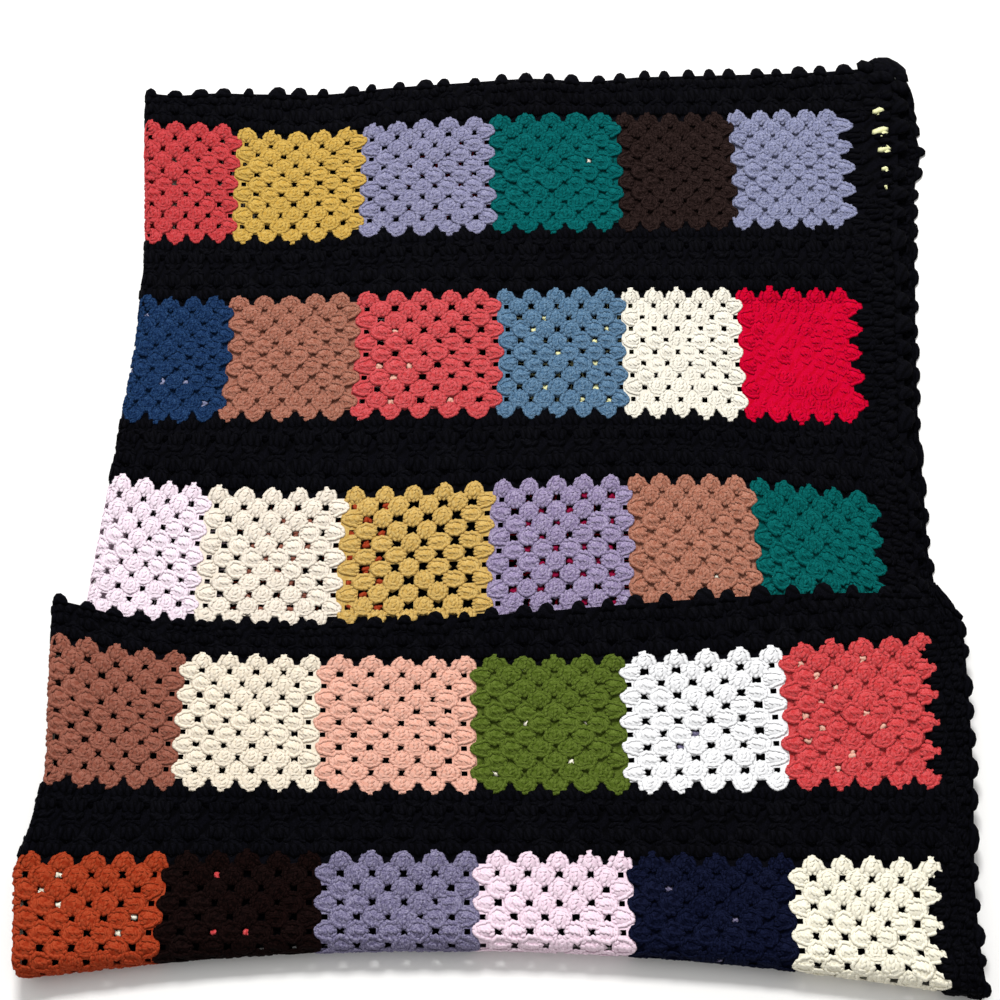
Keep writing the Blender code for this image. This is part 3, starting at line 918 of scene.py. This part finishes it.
def build_ground(name):
    """The single-layer ground cloth, gridded flat, opened at its gaps, then folded."""
    us = ground_lines(0.5 - U_EDGE, U_EDGE - 0.5, 0.0, SIDE_DENSE)
    vs = ground_lines(0.5, V_EDGE - 0.5, ROW_OFFSET, FRONT_DENSE)
    bm = new_template()
    bmesh.ops.create_grid(bm, x_segments=len(us) - 1, y_segments=len(vs) - 1, size=1.0,
                          calc_uvs=True)
    grid = np.array([vert.co[:2] for vert in bm.verts])
    gu = us[np.rint((grid[:, 0] + 1.0) / 2.0 * (len(us) - 1)).astype(int)]
    gv = vs[np.rint((grid[:, 1] + 1.0) / 2.0 * (len(vs) - 1)).astype(int)]
    scale = bpy.context.scene.blanket_sizes.gap_scale
    mid = np.array([[gu[[p.index for p in face.verts]].mean(), gv[[p.index for p in face.verts]].mean()]
                    for face in bm.faces])
    yarns = ground_yarn(mid[:, 0], mid[:, 1])
    lattice = {}
    for u, v, wide, is_open in gap_list(scale):
        lattice[lattice_point(u, v)] = (wide / GRID_HALF, is_open)
    opened = np.array([lattice.get(lattice_point(u, v), (0.0, False))[1]
                       and within(u, v, GRID_HALF) for u, v in mid])
    moved_u, moved_v, moved_w = gu.copy(), gv.copy(), np.full_like(gu, -GROUND_SUNK)
    for k, (u, v) in enumerate(zip(gu, gv)):
        key = lattice_point(u, v)
        if key in lattice and within(u, v, GRID_HALF + 0.01):
            factor, is_open = lattice[key]
            moved_u[k] = key[0] + (u - key[0]) * factor
            moved_v[k] = key[1] + ROW_OFFSET + (v - ROW_OFFSET - key[1]) * factor
            moved_w[k] = -GROUND_SUNK if is_open else -PIT_SUNK
    bm.faces.ensure_lookup_table()
    for face, index in zip(bm.faces, yarns):
        face.material_index = int(index)
        face.smooth = True
    places = fold(moved_u, moved_v, moved_w)
    for vert, place in zip(bm.verts, places.tolist()):
        vert.co = place
    gone = [bm.faces[k] for k in np.nonzero(opened)[0]]
    bmesh.ops.delete(bm, geom=gone, context="FACES")
    bmesh.ops.reverse_faces(bm, faces=bm.faces)
    uv = bm.loops.layers.uv["strand"]
    for face in bm.faces:
        for loop in face.loops:
            loop[uv].uv = (loop[uv].uv.x * 130.0, loop[uv].uv.y * 90.0)
    mesh = bpy.data.meshes.new(name)
    bm.to_mesh(mesh)
    bm.free()
    # The ground's darker tone is painted shade.
    mesh.attributes.new("tint", "FLOAT", "POINT").data.foreach_set(
        "value", np.full(len(mesh.vertices), GROUND_PAINTED_SHADE))
    for mat in yarn_materials():
        mesh.materials.append(mat)
    return link_piece(name, mesh)


# ---------------------------------------------------------------- operators


class AddGroundCloth(bpy.types.Operator):
    """Make the thin ground of the crochet, with its gaps, folded as the blanket lies."""

    bl_idname = "blanket.add_ground"
    bl_label = "Ground cloth"

    def execute(self, context):
        build_ground("ground_cloth")
        return {"FINISHED"}


def add_squares(half, squares):
    """All clusters of the squares that show on one half, a piece for each row."""
    sizes = bpy.context.scene.blanket_sizes
    for row, cells in squares.items():
        work = Stitches(sizes.seed + row)
        for column, (yarn, gap, relief) in enumerate(cells, start=1):
            inner, tips = square_rows(half, column, row, yarn, gap * sizes.gap_scale)
            inner = [r[:6] + (-FLAT_SUNK * (1.0 - relief),) + r[7:] for r in inner]
            work.place(templates()["fine"], inner, sizes.unevenness, relief)
            work.place(templates()["tip"], tips, sizes.unevenness, relief)
        work.build(f"squares_row_{row}")


class AddLowerSquares(bpy.types.Operator):
    """Make the clusters of the three rows of squares on the lower half."""

    bl_idname = "blanket.add_lower_squares"
    bl_label = "Squares below the flap"

    def execute(self, context):
        add_squares("A", TOP_SQUARES_A)
        return {"FINISHED"}


class AddFlapSquares(bpy.types.Operator):
    """Make the clusters of the two rows of squares on the flap."""

    bl_idname = "blanket.add_flap_squares"
    bl_label = "Squares on the flap"

    def execute(self, context):
        add_squares("B", TOP_SQUARES_B)
        return {"FINISHED"}


class AddDarkBands(bpy.types.Operator):
    """Make the dark rounds between the rows of squares and round their edges."""

    bl_idname = "blanket.add_dark_bands"
    bl_label = "Dark bands"

    def execute(self, context):
        sizes = context.scene.blanket_sizes
        for name, rows, sign, seed in (("dark_bands_lower", (1, 2, 3), 1.0, 20),
                                       ("dark_bands_flap", (5, 6), -1.0, 21)):
            work = Stitches(sizes.seed + seed)
            for row in rows:
                for stitches in dark_rounds(row, sign):
                    work.place(templates()["plain"], stitches, sizes.unevenness)
            work.build(name)
        return {"FINISHED"}


def side_places():
    """Places in v of the clusters along a side edge, valley by valley."""
    found = []
    for centre in ROW_CENTRES:
        found += [centre + j for j in (-5.0, -3.0, -1.0, 1.0, 3.0, 5.0)]
        if centre < 83.0:
            found += [centre + 6.67, centre + 8.33]
    return [1.9] + found + [V_EDGE - 1.9]


def near_glimpse(u, v):
    """Whether a border cluster would cover a pale stitch of the lower half."""
    return any(math.hypot(u + 0.2 - at_u, v - at_v) < 0.62 * big for at_u, at_v, big in BORDER_GLIMPSES)


class AddSideBorders(bpy.types.Operator):
    """Make the dark rounds along both side edges."""

    bl_idname = "blanket.add_side_borders"
    bl_label = "Side borders"

    def execute(self, context):
        sizes = context.scene.blanket_sizes
        first = np.array(side_places())
        second = (first[1:] + first[:-1]) / 2.0
        black = YARN_INDEX["black"]
        work = Stitches(sizes.seed + 30)
        for sign in (1.0, -1.0):
            places = [(SIDE_ROUNDS[0], v) for v in first] + [(SIDE_ROUNDS[1], v) for v in second]
            if sign < 0.0:
                places += [(SHORT_VALLEY, centre + j)
                           for centre in ROW_CENTRES for j in (-4.0, -2.0, 0.0, 2.0, 4.0)]
            rows = [(sign * u, v, sign, 0.0, DARK_FOOT, 1.0, 0.0, black)
                    for u, v in places if sign < 0 or not near_glimpse(u, v)]
            shows = [r for r in rows if (r[1] < FLAP_FROM) == (sign > 0)]
            rest = [r for r in rows if (r[1] < FLAP_FROM) != (sign > 0)]
            work.place(templates()["plain"], shows, sizes.unevenness)
            work.place(templates()["rough"], rest, sizes.unevenness)
        work.build("side_borders")
        return {"FINISHED"}


class AddPicots(bpy.types.Operator):
    """Make the picots and the last low round, all the way round the edge."""

    bl_idname = "blanket.add_picots"
    bl_label = "Picot edge"

    def execute(self, context):
        sizes = context.scene.blanket_sizes
        black = YARN_INDEX["black"]
        rng = np.random.default_rng(sizes.seed + 41)
        rows = []
        for length, count, big, sideways in ((2 * U_EDGE, PICOTS_ALONG, PICOT_SIZE_ALONG, False),
                                             (V_EDGE, PICOTS_UP, PICOT_SIZE_UP, True)):
            for k in range(count):
                for far in (0.0, 1.0):
                    at = (k + 0.5 + rng.uniform(-0.14, 0.14)) * length / count
                    if sideways:
                        sign = 1.0 - 2.0 * far
                        place = (sign * (U_EDGE - PICOT_FOOT), at, sign, 0.0)
                    else:
                        row = PICOT_FOOT + far * (V_EDGE - 2.0 * PICOT_FOOT)
                        place = (at - U_EDGE, row, 0.0, 2.0 * far - 1.0)
                    rows.append(place + (rng.uniform(0.8, 1.15), big * rng.uniform(0.78, 1.16), 0.0,
                                         black))
        for u in (-U_EDGE, U_EDGE):
            for v, way in ((0.0, -0.7), (V_EDGE, 0.7)):
                rows.append((u - math.copysign(PICOT_FOOT, u), v - math.copysign(PICOT_FOOT, way),
                             math.copysign(0.7, u), way, PICOT_CORNER, PICOT_CORNER, 0.0, black))
        work = Stitches(sizes.seed + 40)
        work.place(templates()["picot"], rows, sizes.unevenness)
        work.build("picot_edge")
        return {"FINISHED"}


class AddGlimpses(bpy.types.Operator):
    """Make the stitches of the layer below that show through the gaps."""

    bl_idname = "blanket.add_glimpses"
    bl_label = "Stitches seen through gaps"

    def execute(self, context):
        sizes = context.scene.blanket_sizes
        rng = np.random.default_rng(sizes.seed + 60)
        work = Stitches(sizes.seed + 61)
        rows = []
        for half, squares in (("A", TOP_SQUARES_A), ("B", TOP_SQUARES_B)):
            for row, cells in squares.items():
                for column, (name, _, _) in enumerate(cells, start=1):
                    if name not in GLIMPSES:
                        continue
                    yarn, share, height, *columns = GLIMPSES[name]
                    low, high = columns or ALL_COLUMNS
                    cu, cv = square_centre(half, column, row)
                    for i in range(low, high + 1):
                        for j in range(-4 + i % 2, 5, 2):
                            if rng.random() > share:
                                continue
                            turn = rng.uniform(0.0, 2.0 * math.pi)
                            rows.append((cu + i + rng.uniform(-0.12, 0.12), cv + j + rng.uniform(-0.12, 0.12),
                                         math.cos(turn), math.sin(turn), 0.9, 0.85,
                                         height + rng.uniform(-0.4, 0.4), YARN_INDEX[yarn]))
        for u, v, big in BORDER_GLIMPSES:
            rows.append((u, v, 0.5, 0.87, big, big, 1.3, YARN_INDEX["pale_yellow"]))
        work.place(templates()["speck"], rows, sizes.unevenness)
        work.build("glimpses")
        return {"FINISHED"}


class AddUnderside(bpy.types.Operator):
    """Make plain clusters on the face that lies on the floor."""

    bl_idname = "blanket.add_underside"
    bl_label = "Underside"

    def execute(self, context):
        sizes = context.scene.blanket_sizes
        work = Stitches(sizes.seed + 50)
        rows = []
        for row, names in UNDER_SQUARES_B.items():
            for column, yarn in enumerate(names, start=1):
                inner, tips = square_rows("B", column, row, yarn, UNDERSIDE_GAP)
                rows += inner + tips
        for row in UNDER_SQUARES_B:
            for stitches in dark_rounds(row, -1.0):
                rows += stitches
        rows = [r[:6] + (0.4,) + r[7:] for r in rows if r[1] < UNDERSIDE_TO]
        work.place(templates()["rough"], rows, sizes.unevenness * 0.6, 0.6)
        work.build("underside")
        return {"FINISHED"}


class DressBlanket(bpy.types.Operator):
    bl_idname = "blanket.dress"
    bl_label = "Declare the cloth"

    def execute(self, context):
        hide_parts(CAD_NODE)
        return {"FINISHED"}


class AddStage(bpy.types.Operator):
    """Make the pale floor, the soft light and the camera."""

    bl_idname = "blanket.add_stage"
    bl_label = "Floor, light and camera"

    def execute(self, context):
        stage = context.scene.blanket_stage
        bm = bmesh.new()
        bmesh.ops.create_circle(bm, cap_ends=True, segments=96, radius=6.0)
        mesh = bpy.data.meshes.new("floor")
        bm.to_mesh(mesh)
        bm.free()
        floor = bpy.data.objects.new("floor", mesh)
        context.scene.collection.objects.link(floor)
        mat, _, shader = new_material("pale_floor")
        shader.inputs["Base Color"].default_value = tuple(stage.floor_colour) + (1.0,)
        shader.inputs["Roughness"].default_value = 0.9
        shader.inputs["Specular IOR Level"].default_value = 0.2
        mesh.materials.append(mat)
        world = bpy.data.worlds.new("surroundings")
        world.use_nodes = True
        # The room is brighter behind the blanket than in front of it.
        nodes = world.node_tree.nodes
        way = add(nodes, "ShaderNodeTexCoord")
        parts = add(nodes, "ShaderNodeSeparateXYZ", {}, {}, {"Vector": way.outputs["Generated"]})
        level = add(nodes, "ShaderNodeMapRange", {},
                    {"From Min": -0.8, "From Max": 0.6, "To Min": stage.sky * 0.35,
                     "To Max": stage.sky * 1.35},
                    {"Value": parts.outputs["Y"]})
        back = nodes["Background"]
        back.inputs["Color"].default_value = (1.0, 1.0, 1.0, 1.0)
        world.node_tree.links.new(level.outputs["Result"], back.inputs["Strength"])
        context.scene.world = world
        light = bpy.data.lights.new("key", "AREA")
        light.shape = "RECTANGLE"
        light.size, light.size_y = 0.9, 0.7
        light.energy = stage.key_power
        lamp = bpy.data.objects.new("key", light)
        lamp.location = (-0.3, 1.9, 3.0)
        lamp.rotation_euler = (math.radians(-32.0), 0.0, 0.0)
        context.scene.collection.objects.link(lamp)
        data = bpy.data.cameras.new("view")
        data.sensor_width = 36.0
        data.lens = 61.2
        data.clip_start, data.clip_end = 0.05, 30.0
        camera = bpy.data.objects.new("view", data)
        camera.location = (-0.01266, -0.65795, 1.353)
        camera.rotation_euler = (math.radians(25.0), 0.0, 0.0)
        context.scene.collection.objects.link(camera)
        context.scene.camera = camera
        context.scene.view_settings.view_transform = "Standard"
        return {"FINISHED"}


STEPS = (AddGroundCloth, AddLowerSquares, AddFlapSquares, AddDarkBands, AddSideBorders,
         AddPicots, AddGlimpses, AddUnderside, AddStage, DressBlanket)


class BlanketPanel(bpy.types.Panel):
    """Sizes, yarns and the steps that make the blanket."""

    bl_idname = "VIEW3D_PT_blanket"
    bl_label = "Granny Square Blanket"
    bl_space_type = "VIEW_3D"
    bl_region_type = "UI"
    bl_category = "Blanket"

    def draw(self, context):
        column = self.layout.column()
        for group in (context.scene.blanket_sizes, context.scene.blanket_stage,
                      context.scene.blanket_yarns):
            for name in group.bl_rna.properties.keys():
                if name not in ("rna_type", "name"):
                    column.prop(group, name)
        for step in STEPS:
            column.operator(step.bl_idname)


CLASSES = (BlanketSizes, BlanketYarns, StageSettings) + STEPS + (BlanketPanel,)


def register():
    for cls in CLASSES:
        bpy.utils.register_class(cls)
    scene = bpy.types.Scene
    scene.blanket_sizes = bpy.props.PointerProperty(type=BlanketSizes)
    scene.blanket_yarns = bpy.props.PointerProperty(type=BlanketYarns)
    scene.blanket_stage = bpy.props.PointerProperty(type=StageSettings)


def unregister():
    scene = bpy.types.Scene
    del scene.blanket_sizes, scene.blanket_yarns, scene.blanket_stage
    for cls in reversed(CLASSES):
        bpy.utils.unregister_class(cls)


def main():
    register()
    bpy.ops.blanket.add_ground()
    bpy.ops.blanket.add_lower_squares()
    bpy.ops.blanket.add_flap_squares()
    bpy.ops.blanket.add_dark_bands()
    bpy.ops.blanket.add_side_borders()
    bpy.ops.blanket.add_picots()
    bpy.ops.blanket.add_glimpses()
    bpy.ops.blanket.add_underside()
    bpy.ops.blanket.add_stage()
    bpy.ops.blanket.dress()


if __name__ == "__main__":
    main()
